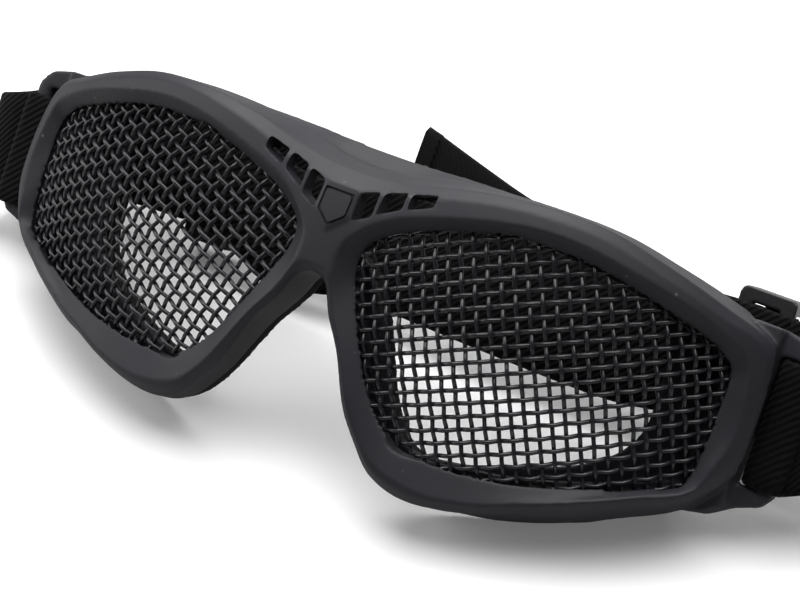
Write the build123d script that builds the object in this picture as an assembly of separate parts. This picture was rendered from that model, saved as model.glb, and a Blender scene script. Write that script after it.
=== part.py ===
from build123d import *
import math
import os

os.makedirs("parts", exist_ok=True)

# Sizes in millimetres. The goggles are modelled upright: x across the face, y from
# the front to the back, z up. LEAN lays the finished object back on its face side.
LEAN = 40.5
CURVE_PARTS = 10
EDGE_SAMPLES = 20
HALF_W = 85.5
HALF_H = 33
EYE_X = 19
CURVE_Y = 88.2
RIDGE_R = 94
MESH_R = 90
BACK_R = 87.5
HEAD_Y = 123
HEAD_R = 109
FOAM_T = 6
FLANGE_T = 2.4
WALL = 2.6
NEAR_Y = 8
FAR_Y = 46
RIM_SOFT = 1.6
TEMPLE_TURN = 44
TEMPLE_X = 85.6
TEMPLE_Y = 21
NOTCH_Z = 1.9
FOAM_NOTCH_Z = 8
SOFT_CUT = 0.5

# Lens openings and the woven wire in them. The real mesh has a wire every 2.54; PITCH
# is coarser, which keeps the mesh light.
LENS_TURN = 15.5
CUT_NEAR = 79
CUT_FAR = 99
BEVEL_PAST = 1.35
GROOVE_HALF = 0.9
LEDGE = 1.5
MESH_LEDGE = 1.2
PITCH = 4.2
WIRE = 0.7
CRIMP_SHARE = 0.42
WEAVE_TURN = 23.5

# Brow vents and the plain panel between them.
VENT_R = 0.6
PANEL_RISE = 0.4

# Strap lugs at the temples: ears that reach out past the rim, each with an upright
# slot and a bar that the strap goes round.
LUG_X = 91
LUG_T = 3.7
LUG_Y = 26.6
LUG_BACK = 30.8
LUG_ROOT_Y = 24.6
LUG_R = 1.1
LUG_SLOPE = 2.9
SLOT_W = 3.9
SLOT_TOP = 16
SLOT_LOW = -11.2

# Elastic strap, its two sliders and its free ends.
STRAP_W = 25
STRAP_T = 1.4
LAYER_GAP = 0.4
LUG_STRAP_Z = 2.2
BACK_Y = 47
LOOP_X = 102
RIGHT_SLIDER_X = 73.5
LEFT_SLIDER_X = -49
RIGHT_TAIL_X = -12
LEFT_TAIL_X = -16
TAIL_PART_X = 12
TAIL_END_Y = 62
SLIDER_L = 12
SLIDER_BAR = 3
SLIDER_RAIL = 3
SLIDER_T = 2
GAP = 0.3

# Half outlines, brow to nose, as shares of HALF_W and HALF_H: the front edge, and the
# edge that the same wall reaches at the face.
front_edge_shares = (
    (0.070, 0.652),
    (0.234, 0.764),
    (0.421, 0.852),
    (0.526, 0.861),
    (0.620, 0.836),
    (0.702, 0.782),
    (0.795, 0.709),
    (0.884, 0.630),
    (0.970, 0.515),
    (0.992, 0.350),
    (1.000, 0.000),
    (0.985, -0.210),
    (0.955, -0.345),
    (0.906, -0.470),
    (0.830, -0.585),
    (0.737, -0.703),
    (0.620, -0.830),
    (0.515, -0.918),
    (0.421, -0.985),
    (0.327, -1.000),
    (0.257, -0.939),
    (0.207, -0.794),
    (0.168, -0.658),
    (0.105, -0.303),
    (0.058, -0.100),
)
face_edge_shares = (
    (0.070, 0.864),
    (0.234, 0.870),
    (0.421, 0.867),
    (0.526, 0.861),
    (0.610, 0.836),
    (0.690, 0.785),
    (0.775, 0.727),
    (0.862, 0.650),
    (0.950, 0.530),
    (0.990, 0.360),
    (1.000, 0.000),
    (0.980, -0.220),
    (0.935, -0.325),
    (0.870, -0.425),
    (0.790, -0.530),
    (0.700, -0.690),
    (0.600, -0.870),
    (0.510, -0.975),
    (0.430, -1.045),
    (0.350, -1.062),
    (0.290, -1.000),
    (0.234, -0.864),
    (0.190, -0.682),
    (0.112, -0.303),
    (0.062, -0.100),
)

# Half outline of the opening in the foam, where the face looks in.
face_hole_shares = (
    (0.100, 0.650),
    (0.300, 0.655),
    (0.470, 0.640),
    (0.600, 0.585),
    (0.690, 0.480),
    (0.738, 0.280),
    (0.746, 0.000),
    (0.740, -0.230),
    (0.695, -0.410),
    (0.590, -0.570),
    (0.462, -0.685),
    (0.363, -0.745),
    (0.290, -0.735),
    (0.238, -0.600),
    (0.200, -0.424),
    (0.172, -0.258),
    (0.134, -0.050),
    (0.080, 0.152),
)

# One lens opening, as shares of HALF_W and HALF_H: the edge of the wire mesh on
# MESH_R, and the crest that the bevel reaches on RIDGE_R.
mesh_edge_shares = (
    (0.332, 0.582),
    (0.457, 0.630),
    (0.552, 0.627),
    (0.651, 0.582),
    (0.763, 0.500),
    (0.848, 0.421),
    (0.888, 0.342),
    (0.898, 0.164),
    (0.895, -0.106),
    (0.889, -0.288),
    (0.876, -0.382),
    (0.827, -0.442),
    (0.756, -0.521),
    (0.623, -0.633),
    (0.544, -0.685),
    (0.475, -0.712),
    (0.374, -0.724),
    (0.287, -0.673),
    (0.213, -0.500),
    (0.158, -0.242),
    (0.119, -0.036),
    (0.091, 0.158),
    (0.101, 0.312),
    (0.184, 0.458),
    (0.248, 0.521),
)
crest_shares = (
    (0.347, 0.673),
    (0.447, 0.718),
    (0.547, 0.721),
    (0.654, 0.676),
    (0.772, 0.606),
    (0.871, 0.512),
    (0.931, 0.418),
    (0.954, 0.197),
    (0.956, -0.097),
    (0.938, -0.261),
    (0.919, -0.391),
    (0.840, -0.530),
    (0.746, -0.642),
    (0.630, -0.785),
    (0.538, -0.867),
    (0.439, -0.921),
    (0.330, -0.915),
    (0.234, -0.803),
    (0.173, -0.570),
    (0.116, -0.321),
    (0.061, -0.079),
    (0.046, 0.109),
    (0.057, 0.303),
    (0.151, 0.512),
    (0.248, 0.603),
)

# Corners of the three vents on one side, and of half the panel.
vent_shares = (
    ((0.050, 0.579), (0.085, 0.612), (0.087, 0.479), (0.051, 0.427)),
    ((0.104, 0.624), (0.146, 0.661), (0.147, 0.576), (0.102, 0.509)),
    ((0.165, 0.670), (0.215, 0.706), (0.215, 0.648), (0.166, 0.594)),
)
panel_shares = (
    (0.041, 0.594),
    (0.040, 0.418),
)
PANEL_TIP_SHARE = 0.321

# The outer edge of a lug seen from the front, as shares of LUG_X and HALF_H.
lug_edge_shares = (
    (0.967, 0.636),
    (0.985, 0.600),
    (1.000, 0.470),
    (1.000, -0.300),
    (0.978, -0.382),
    (0.879, -0.467),
)

# The route of one strap loop from behind the lug to the straight run at the back, as
# shares of LOOP_X across and of the depth from the lug's back to the run.
loop_shares = (
    (0.902, 0.200),
    (0.942, 0.320),
    (0.982, 0.460),
    (1.000, 0.620),
    (0.985, 0.780),
    (0.950, 0.920),
    (0.900, 1.000),
)
BEND_TURNS = (0, 30, 60, 90)


def curve_y(x, z, radius):
    off = max(abs(x) - EYE_X, 0)
    return CURVE_Y - math.sqrt(radius**2 - off**2 - z**2)


def head_y(x, radius):
    return HEAD_Y - math.sqrt(radius**2 - x**2)


def sized(shares):
    return [(a * HALF_W, b * HALF_H) for a, b in shares]


def whole_outline(half, nose_z):
    left = [(-x, z) for x, z in reversed(half)]
    return half + [(0, nose_z)] + left


def moved_in(points, inset):
    moved = []
    for k, (x, z) in enumerate(points):
        ax, az = points[k - 1]
        bx, bz = points[(k + 1) % len(points)]
        run = math.hypot(bx - ax, bz - az)
        moved.append((x + inset * (bz - az) / run, z - inset * (bx - ax) / run))
    return moved


def closed_curve(points):
    """A smooth closed wire through the points, in a few curves that share tangents."""
    ends = [Vector(*p) for p in points]
    count = len(ends)
    slopes = [(ends[(k + 1) % count] - ends[k - 1]).normalized() for k in range(count)]
    cuts = [round((count - 1) * k / CURVE_PARTS) for k in range(CURVE_PARTS + 1)] + [count]
    edges = []
    for a, b in zip(cuts, cuts[1:]):
        run = [ends[k % count] for k in range(a, b + 1)]
        edges.append(Edge.make_spline(run, tangents=[slopes[a % count], slopes[b % count]]))
    return Wire(edges)


def on_plane(p, q, share_p, share_q, share):
    t = (share - share_p) / (share_q - share_p)
    return tuple(a + (b - a) * t for a, b in zip(p, q))


def single(shape):
    solids = shape.solids()
    return max(solids, key=lambda s: s.volume)


def wall_loft(inset):
    """The space inside the walls, inset by so much, from before the front to the face."""
    front = moved_in(whole_outline(sized(front_edge_shares), NOTCH_Z), inset)
    face = moved_in(whole_outline(sized(face_edge_shares), NOTCH_Z), inset)
    near = []
    far = []
    for (x, z), (u, w) in zip(front, face):
        p = (x, curve_y(x, z, RIDGE_R), z)
        q = (u, head_y(min(abs(u), TEMPLE_X), HEAD_R), w)
        near.append(on_plane(p, q, p[1], q[1], -NEAR_Y))
        far.append(on_plane(p, q, p[1], q[1], FAR_Y))
    return Solid.make_loft([closed_curve(near), closed_curve(far)], ruled=True)


def front_curve(radius):
    """The ball ends and the barrel between them that the fronts of both eyes lie on."""
    eyes = [Pos(s * EYE_X, CURVE_Y, 0) * Sphere(radius) for s in (-1, 1)]
    barrel = Pos(0, CURVE_Y, 0) * Rot(0, 90, 0) * Cylinder(radius, 2 * EYE_X)
    return eyes[0] + eyes[1] + barrel


def upright(points, low, high):
    """A plan outline carried from low to high."""
    face = Face(Wire.make_polygon([Vector(x, y, low) for x, y in points], close=True))
    return Solid.extrude(face, Vector(0, 0, high - low))


def through(points, near, far):
    """A front-view outline carried from near to far."""
    face = Face(Wire.make_polygon([Vector(x, near, z) for x, z in points], close=True))
    return Solid.extrude(face, Vector(0, far - near, 0))


def temple_block(inset):
    """Everything between the two temple walls."""
    turn = math.radians(TEMPLE_TURN)
    x = TEMPLE_X - inset / math.cos(turn)
    back_x = x - FAR_Y * math.sin(turn)
    back_y = TEMPLE_Y + FAR_Y * math.cos(turn)
    right = [(x, -NEAR_Y - RIDGE_R), (x, TEMPLE_Y), (back_x, back_y)]
    left = [(-a, b) for a, b in reversed(right)]
    return upright(right + left, -2 * HALF_H, 2 * HALF_H)


def head_post(radius):
    return Pos(0, HEAD_Y, 0) * Cylinder(radius, 4 * HALF_H)


def face_hole():
    outline = whole_outline(sized(face_hole_shares), FOAM_NOTCH_Z)
    rows = [[(x, y, z) for x, z in outline] for y in (0, 2 * FAR_Y)]
    return Solid.make_loft([closed_curve(row) for row in rows], ruled=True)


def lens_point(x, z, radius):
    """A point of one lens in the frame turned to face it: across, up and out."""
    turn = math.radians(LENS_TURN)
    across = x - EYE_X
    depth = CURVE_Y - curve_y(x, z, radius)
    out = across * math.sin(turn) + depth * math.cos(turn)
    return (across * math.cos(turn) - depth * math.sin(turn), z, out)


def lens_place():
    """The right lens's own frame: its z runs out of the eye's ball through the lens."""
    turn = math.radians(LENS_TURN)
    out = Vector(math.sin(turn), -math.cos(turn), 0)
    across = Vector(math.cos(turn), math.sin(turn), 0)
    return Plane(origin=Vector(EYE_X, CURVE_Y, 0), x_dir=across, z_dir=out)


def cone_points(shares, radius, grow, out):
    """The outline on its ball, grown sideways, seen from the ball's middle at out."""
    flat = []
    for x, z in sized(shares):
        a, b, c = lens_point(x, z, radius)
        flat.append((a * out / c, b * out / c))
    return moved_in(flat, -grow * out / radius)


def outward(p, out):
    return (p[0] * out / p[2], p[1] * out / p[2], out)


def lens_cutter():
    """The hole, the groove for the mesh's edge and the bevel, as one stack of outlines."""
    opening = cone_points(mesh_edge_shares, MESH_R, 0, 1)
    grown = cone_points(mesh_edge_shares, MESH_R, LEDGE, 1)
    inner = MESH_R - GROOVE_HALF
    outer = MESH_R + GROOVE_HALF
    rows = [[(a * CUT_NEAR, b * CUT_NEAR, CUT_NEAR) for a, b in opening]]
    for outline, radius in ((opening, inner), (grown, inner), (grown, outer), (opening, outer)):
        rows.append([tuple(ball_point(a, b, radius)) for a, b in outline])
    crests = [lens_point(x, z, RIDGE_R) for x, z in sized(crest_shares)]
    past = [on_plane(p, q, 0, 1, BEVEL_PAST) for p, q in zip(rows[-1], crests)]
    rows.append(past)
    rows.append([outward(p, CUT_FAR) for p in past])
    return Solid.make_loft([closed_curve(row) for row in rows], ruled=True)


def lug():
    """The right strap lug: a root behind the temple, two arms and a bar."""
    inner = LUG_X - LUG_T
    root = inner - 3 * LUG_T
    plan = [
        (root, LUG_ROOT_Y),
        (TEMPLE_X - LUG_SLOPE, LUG_ROOT_Y),
        (inner - SLOT_W, LUG_Y),
        (LUG_X, LUG_Y),
        (LUG_X, LUG_BACK),
        (root, LUG_BACK),
    ]
    outline = [(root, lug_edge_shares[0][1] * HALF_H)]
    outline += [(a * LUG_X, b * HALF_H) for a, b in lug_edge_shares]
    outline.append((root, lug_edge_shares[-1][1] * HALF_H))
    block = through(outline, 0, 2 * LUG_BACK) & upright(plan, -HALF_H, HALF_H)
    slot = [(inner - SLOT_W, 0), (inner, 0), (inner, 2 * LUG_BACK), (inner - SLOT_W, 2 * LUG_BACK)]
    block = single(block - upright(slot, SLOT_LOW, SLOT_TOP))
    tall = [e for e in block.edges().filter_by(Axis.Z) if e.length > STRAP_W]
    bar = [e for e in tall if e.center().X > inner - LUG_R]
    return fillet(bar, LUG_R)


def vents():
    """The three vents of the right side, cut straight back into the hollow."""
    cuts = []
    for corners in vent_shares:
        face = Face(Wire.make_polygon([Vector(x, -NEAR_Y, z) for x, z in sized(corners)], close=True))
        face = face.fillet_2d(VENT_R, face.vertices())
        cuts.append(Solid.extrude(face, Vector(0, 2 * NEAR_Y, 0)))
    return cuts


def panel():
    half = sized(panel_shares)
    outline = half + [(0, PANEL_TIP_SHARE * HALF_H)] + [(-x, z) for x, z in reversed(half)]
    block = through(outline, -NEAR_Y, 0)
    return block & front_curve(RIDGE_R + PANEL_RISE)


def mirrored(shape):
    return shape.mirror(Plane.YZ)


def softened_loft():
    """The wall's space with its front edge sloped off, so that the rim isn't sharp."""
    outline = whole_outline(sized(front_edge_shares), NOTCH_Z)
    rows = [[], [], [], []]
    for (x, z), (u, w) in zip(outline, moved_in(outline, RIM_SOFT)):
        inner = (u, curve_y(u, w, RIDGE_R), w)
        outer = (x, curve_y(x, z, RIDGE_R) + RIM_SOFT, z)
        past = on_plane(inner, outer, 0, 1, 3)
        stack = [(u, -NEAR_Y, w), inner, past, (past[0], FAR_Y, past[2])]
        for row, p in zip(rows, stack):
            row.append(p)
    return Solid.make_loft([closed_curve(row) for row in rows], ruled=True)


def frame_outside():
    body = single(wall_loft(0) & front_curve(RIDGE_R))
    body = single(body & temple_block(0))
    return single(body & softened_loft())


def frame():
    seat = HEAD_R + FOAM_T
    body = frame_outside()
    for side in (lug(), mirrored(lug())):
        body = body + side
    hollow = single(wall_loft(WALL) & front_curve(BACK_R))
    hollow = single(hollow & temple_block(WALL))
    hollow = hollow - head_post(seat + FLANGE_T)
    body = body - head_post(seat) - hollow - face_hole()
    body = body + panel()
    for cut in [lens_place().location * lens_cutter()] + vents():
        body = body - cut - mirrored(cut)
    return single(body)


def foam():
    """The face foam, a ring as deep as FOAM_T that follows the face."""
    ring = single(wall_loft(0) & temple_block(0))
    ring = (ring & head_post(HEAD_R + FOAM_T)) - head_post(HEAD_R)
    return single(ring - face_hole())


def wire(stops, side):
    """One crimped wire through the stops, square in section and standing on edge."""
    half = WIRE / 2
    runs = [(b - a).normalized() for a, b in zip(stops, stops[1:])]
    rings = []
    for k, stop in enumerate(stops):
        before = runs[max(k - 1, 0)]
        after = runs[min(k, len(runs) - 1)]
        along = (before + after).normalized()
        up = side.cross(along).normalized() * (half / along.dot(after))
        rings.append([stop + up, stop + side * half, stop - up, stop - side * half])
    faces = [Face(Wire.make_polygon(rings[0])), Face(Wire.make_polygon(rings[-1]))]
    for ring, after in zip(rings, rings[1:]):
        for k in range(len(ring)):
            n = (k + 1) % len(ring)
            faces.append(Face(Wire.make_polygon([ring[k], ring[n], after[n], after[k]])))
    return Solid(Shell(faces))


def crossings(outline, place):
    """Where a straight line, one unit across at place, goes in and out of an outline."""
    found = []
    for k, (ax, ay) in enumerate(outline):
        bx, by = outline[k - 1]
        if (ax - place) * (bx - place) < 0:
            found.append(ay + (by - ay) * (place - ax) / (bx - ax))
    return sorted(found)


def ball_point(u, v, radius):
    return Vector(u, v, 1).normalized() * radius


def wire_family(outline, crossed):
    """All the wires of one direction, over and under those of the other direction."""
    step = PITCH / MESH_R
    crimp = CRIMP_SHARE * WIRE
    reach = round(max(abs(v) for p in outline for v in p) / step) + 1
    wires = []
    for j in range(-reach, reach + 1):
        ends = crossings(outline, math.tan(j * step))
        if len(ends) < 2 or ends[1] - ends[0] < 2 * step:
            continue
        stops = [(ends[0], MESH_R)]
        for i in range(-reach, reach + 1):
            v = math.tan(i * step)
            if ends[0] + step / 3 < v < ends[1] - step / 3:
                over = 1 if (i + j + crossed) % 2 == 0 else -1
                stops.append((v, MESH_R + over * crimp))
        stops.append((ends[1], MESH_R))
        line = [ball_point(math.tan(j * step), v, r) for v, r in stops]
        wires.append(wire(line, line[0].cross(line[-1]).normalized()))
    return wires


def turned(points, turn):
    c = math.cos(turn)
    s = math.sin(turn)
    return [(x * c + y * s, y * c - x * s) for x, y in points]


def mesh_lens():
    """The right lens: two families of crimped wires, woven on the ball and fused."""
    turn = math.radians(WEAVE_TURN)
    outline = cone_points(mesh_edge_shares, MESH_R, MESH_LEDGE, 1)
    outline = turned(outline, turn)
    first = wire_family(outline, 0)
    flipped = [(y, -x) for x, y in outline]
    second = [w.rotate(Axis.Z, 90) for w in wire_family(flipped, 1)]
    woven = first[0].fuse(*first[1:], *second)
    woven = woven.rotate(Axis.Z, WEAVE_TURN)
    return single(lens_place().location * woven)


def ribbon(stops, width, thick):
    """A flat band through stops in plan, each with its own middle height."""
    sections = []
    for k, (x, y, z) in enumerate(stops):
        ax, ay, _ = stops[max(k - 1, 0)]
        bx, by, _ = stops[min(k + 1, len(stops) - 1)]
        run = math.hypot(bx - ax, by - ay)
        off = Vector(-(by - ay) / run, (bx - ax) / run, 0) * (thick / 2)
        up = Vector(0, 0, width / 2)
        mid = Vector(x, y, z)
        sections.append(Wire.make_polygon([mid + off + up, mid - off + up, mid - off - up, mid + off - up]))
    return Solid.make_loft(sections, ruled=True)


def beside(stops, off):
    """The same route, moved sideways by off in plan."""
    moved = []
    for k, (x, y, z) in enumerate(stops):
        ax, ay, _ = stops[max(k - 1, 0)]
        bx, by, _ = stops[min(k + 1, len(stops) - 1)]
        run = math.hypot(bx - ax, by - ay)
        moved.append((x - off * (by - ay) / run, y + off * (bx - ax) / run, z))
    return moved


def back_height(rest):
    """The strap's middle height behind, where the sliders' lower edges just touch."""
    turn = math.radians(LEAN)
    deep = BACK_Y + LAYER_GAP + 3 * STRAP_T / 2 + GAP + SLIDER_T
    low = (deep * math.sin(turn) + rest) / math.cos(turn)
    return low + STRAP_W / 2 + GAP + SLIDER_RAIL


def bar_bend():
    """The band's way round the lug's bar in plan, from outside to inside."""
    reach = LUG_R + GAP + STRAP_T / 2
    corner = []
    for turn in BEND_TURNS:
        angle = math.radians(turn)
        corner.append((reach * math.cos(angle) - LUG_R, LUG_Y + LUG_R - reach * math.sin(angle)))
    outside = [(LUG_X + x, y) for x, y in corner]
    inside = [(LUG_X - LUG_T - x, y) for x, y in reversed(corner)]
    return [(outside[0][0], LUG_BACK)] + outside + inside + [(inside[-1][0], LUG_BACK)]


def strap_loop(end_x, back_z):
    """The double band from a slider's side, round the lug's bar and back."""
    layer = (STRAP_T + LAYER_GAP) / 2
    run_y = BACK_Y + layer
    middle = []
    for x, y in loop_shares:
        z = LUG_STRAP_Z + (back_z - LUG_STRAP_Z) * y
        middle.append((x * LOOP_X, LUG_BACK + (run_y - LUG_BACK) * y, z))
    middle.append((end_x, run_y, back_z))
    turn = [(x, y, LUG_STRAP_Z) for x, y in bar_bend()]
    return ribbon(beside(middle, -layer)[::-1] + turn + beside(middle, layer), STRAP_W, STRAP_T)


def strap_back(back_z):
    ends = [LEFT_SLIDER_X - SLIDER_L / 2, RIGHT_SLIDER_X + SLIDER_L / 2]
    return ribbon([(x, BACK_Y, back_z) for x in ends], STRAP_W, STRAP_T)


def tail_y():
    return BACK_Y + STRAP_T + LAYER_GAP


def long_tail(back_z, rest):
    """The right free end: it leaves the run, and its hemmed tip stands on its edge."""
    turn = math.radians(LEAN)
    tip_z = (TAIL_END_Y * math.sin(turn) + rest) / math.cos(turn) + STRAP_W / 2 + STRAP_T
    route = [(RIGHT_SLIDER_X + SLIDER_L / 2, tail_y(), back_z), (TAIL_PART_X, tail_y(), back_z)]
    for share in (0.2, 0.5, 1):
        x = TAIL_PART_X + (RIGHT_TAIL_X - TAIL_PART_X) * share
        y = tail_y() + (TAIL_END_Y - tail_y()) * share**1.5
        z = back_z + max(tip_z - back_z, 0) * share**1.5
        route.append((x, y, z))
    return ribbon(route, STRAP_W, STRAP_T)


def short_tail(back_z):
    ends = [LEFT_SLIDER_X - SLIDER_L / 2, LEFT_TAIL_X]
    return ribbon([(x, tail_y(), back_z) for x in ends], STRAP_W, STRAP_T)


def block(x0, x1, y0, y1, z0, z1):
    return upright([(x0, y0), (x1, y0), (x1, y1), (x0, y1)], z0, z1)


def slider(x, back_z):
    """A slide buckle: two bars before the layers, one behind, and a rail at each end."""
    near = BACK_Y - STRAP_T / 2 - GAP
    far = tail_y() + STRAP_T / 2 + GAP
    half = SLIDER_L / 2
    inner = STRAP_W / 2 + GAP
    outer = inner + SLIDER_RAIL
    low = back_z - outer
    high = back_z + outer
    body = block(x - half, x + half, near - SLIDER_T, far + SLIDER_T, low, high)
    body = fillet(body.edges().filter_by(Axis.Y), SLIDER_RAIL / 2)
    body = body - block(x - half, x + half, near, far, back_z - inner, back_z + inner)
    for side in (-1, 1):
        a = x + side * half
        b = x + side * SLIDER_BAR / 2
        body = body - block(min(a, b), max(a, b), far, far + SLIDER_T, back_z - inner, back_z + inner)
    gap = half - SLIDER_BAR
    return single(body - block(x - gap, x + gap, near - SLIDER_T, near, back_z - inner, back_z + inner))


def laid_back(shape):
    return shape.rotate(Axis.X, -LEAN)


def lowest(shape):
    """The lowest point of the laid back shape's edges."""
    shares = [k / EDGE_SAMPLES for k in range(EDGE_SAMPLES + 1)]
    return min(e.position_at(k).Z for e in laid_back(shape).edges() for k in shares)


def parts():
    """Every piece by name, leaning back, with the floor at the pieces' lowest point."""
    pad = foam()
    rest = lowest(pad) + SOFT_CUT
    back_z = back_height(rest)
    lens = mesh_lens()
    pieces = {
        "frame": frame(),
        "mesh_lens_right": lens,
        "mesh_lens_left": mirrored(lens),
        "face_foam": pad,
        "strap_back": strap_back(back_z),
        "strap_loop_right": strap_loop(RIGHT_SLIDER_X + SLIDER_L / 2 + GAP, back_z),
        "strap_loop_left": mirrored(strap_loop(-LEFT_SLIDER_X + SLIDER_L / 2 + GAP, back_z)),
        "strap_tail_right": long_tail(back_z, rest),
        "strap_tail_left": short_tail(back_z),
        "slider_right": slider(RIGHT_SLIDER_X, back_z),
        "slider_left": slider(LEFT_SLIDER_X, back_z),
    }
    laid = {name: laid_back(piece) for name, piece in pieces.items()}
    under = Pos(0, 0, rest - 2 * HALF_W) * Box(8 * HALF_W, 8 * HALF_W, 4 * HALF_W)
    laid["face_foam"] = single(laid["face_foam"] - under)
    boxes = [piece.bounding_box() for piece in laid.values()]
    x = (min(b.min.X for b in boxes) + max(b.max.X for b in boxes)) / 2
    y = (min(b.min.Y for b in boxes) + max(b.max.Y for b in boxes)) / 2
    z = min(b.min.Z for b in boxes)
    return {name: piece.translate(Vector(-x, -y, -z)) for name, piece in laid.items()}


for name, piece in parts().items():
    export_step(piece, f"parts/{name}.step")
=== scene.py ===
import math

import bmesh
import bpy
from mathutils import Matrix, Vector


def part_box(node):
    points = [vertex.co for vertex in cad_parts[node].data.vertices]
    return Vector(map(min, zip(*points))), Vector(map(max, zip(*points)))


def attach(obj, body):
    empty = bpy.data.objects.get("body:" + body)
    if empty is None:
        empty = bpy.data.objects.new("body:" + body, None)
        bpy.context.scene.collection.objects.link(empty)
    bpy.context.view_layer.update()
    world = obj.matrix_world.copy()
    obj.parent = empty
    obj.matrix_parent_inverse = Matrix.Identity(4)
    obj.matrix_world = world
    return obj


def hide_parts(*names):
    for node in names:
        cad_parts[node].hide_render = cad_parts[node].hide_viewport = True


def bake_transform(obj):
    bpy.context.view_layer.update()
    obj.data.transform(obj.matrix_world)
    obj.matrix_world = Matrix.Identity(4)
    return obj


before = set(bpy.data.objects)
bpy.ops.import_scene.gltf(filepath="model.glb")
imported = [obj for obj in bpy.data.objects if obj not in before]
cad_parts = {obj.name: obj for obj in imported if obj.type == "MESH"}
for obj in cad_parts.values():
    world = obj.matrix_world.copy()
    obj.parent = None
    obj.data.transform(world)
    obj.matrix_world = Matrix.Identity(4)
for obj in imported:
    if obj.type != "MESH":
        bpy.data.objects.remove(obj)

bl_info = {
    "name": "Mesh Safety Goggles",
    "version": (1, 0, 0),
    "blender": (4, 5, 0),
    "location": "3D View > Sidebar > Goggles",
    "description": "Builds the looks of a pair of woven-mesh safety goggles on their CAD frame",
    "category": "Object",
}

MM = 0.001

# The goggles are drawn upright, in millimetres: x across the face, y from the lenses to
# the head, z up. row() leans them back by LEAN and moves them to the row's frame. These
# values are part.py's.
LEAN = math.radians(40.5)
SHIFT_Y = -22.778
SHIFT_Z = 38.866
HALF_W = 85.5
HALF_H = 33.0
EYE_X = 19.0
CURVE_Y = 88.2
RIDGE_R = 94.0
PANEL_RISE = 0.4
HEAD_Y = 123.0
SEAT_R = 115.0
FOAM_T = 6.0

# The lenses: a ball of MESH_R, cut to MESH_EDGE and set MESH_LEDGE into the groove.
MESH_R = 90.0
MESH_LEDGE = 1.2
LENS_TURN = math.radians(15.5)
WEAVE_TURN = math.radians(23.5)
POINTS_PER_PITCH = 5

# The lugs' bars, with SLOT_SLACK beside the strap in the slot. Behind them the strap
# runs FRONT_STEP in front of BACK_Y, and its outer layer LAYER_STEP behind it. The
# solids' sliders stand at CAD_BACK_Z. A band has BAND_ROWS across, BAND_STEPS between
# two stops and edges thinner by EDGE_THINS, and a loop whose slider is nearer the middle
# than LONG_WAY_X has two stops more.
LUG_X = 91.0
LUG_T = 3.7
LUG_Y = 26.6
LUG_R = 1.1
STRAP_GAP = 0.35
SLOT_SLACK = 1.6
BACK_Y = 47.0
LAYER_STEP = 1.8
FRONT_STEP = 3.9
CAD_BACK_Z = 8.93
BAND_ROWS = 8
BAND_STEPS = 8
EDGE_THINS = 0.15
LONG_WAY_X = 70

# Points nearer than WELD, in metres, are one, and an edge past SHARP_ANGLE, in degrees,
# stays sharp where a cut meets the moulding.
WELD = 0.00001
SHARP_ANGLE = 50

# The camera's axes and place in the goggles' upright frame, solved from the photograph.
CAMERA_RIGHT = (0.86536, 0.38120, 0.32533)
CAMERA_UP = (-0.33316, -0.04735, 0.94168)
CAMERA_BACK = (0.37437, -0.92328, 0.08602)
CAMERA_PLACE = (174.76, -388.95, 38.73)

# The stage, in metres: the floor's half side, and each softbox's name, place, size and
# share of the overhead light's power.
FLOOR_HALF = 4.0
SOFTBOXES = (
    ("Overhead softbox", (0.0, 0.16, 1.0), (1.2, 0.9), 1.0),
    ("Rear softbox", (-0.35, 0.95, 0.75), (1.0, 0.5), 0.6),
    ("Side softbox", (-1.0, -0.2, 0.5), (0.7, 0.7), 0.36),
)

# The lens's edge as shares of HALF_W and HALF_H.
MESH_EDGE = (
    (0.332, 0.582),
    (0.457, 0.630),
    (0.552, 0.627),
    (0.651, 0.582),
    (0.763, 0.500),
    (0.848, 0.421),
    (0.888, 0.342),
    (0.898, 0.164),
    (0.895, -0.106),
    (0.889, -0.288),
    (0.876, -0.382),
    (0.827, -0.442),
    (0.756, -0.521),
    (0.623, -0.633),
    (0.544, -0.685),
    (0.475, -0.712),
    (0.374, -0.724),
    (0.287, -0.673),
    (0.213, -0.500),
    (0.158, -0.242),
    (0.119, -0.036),
    (0.091, 0.158),
    (0.101, 0.312),
    (0.184, 0.458),
    (0.248, 0.521),
)

# The three brow vents of one side, and half of the groove round the bare panel.
VENTS = (
    ((4.3, 19.1), (7.3, 20.2), (7.4, 15.8), (4.4, 14.1)),
    ((8.9, 20.6), (12.5, 21.8), (12.6, 19.0), (8.7, 16.8)),
    ((14.1, 22.1), (18.4, 23.3), (18.4, 21.4), (14.2, 19.6)),
)
PANEL_GROOVE = ((3.2, 18.5), (3.2, 13.9), (0.0, 11.2))

# Where the frame's lower outside edge runs, and how much lower its rear edge hangs:
# across, height, drop.
LOW_EDGE = (
    (38.0, -32.6, 0.0),
    (45.0, -30.2, 1.2),
    (53.0, -27.4, 2.0),
    (60.0, -24.6, 2.7),
    (67.0, -21.3, 3.1),
    (74.0, -17.4, 2.9),
    (79.0, -14.0, 2.3),
    (84.0, -8.5, 0.6),
    (87.0, -7.0, 0.0),
)

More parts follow.
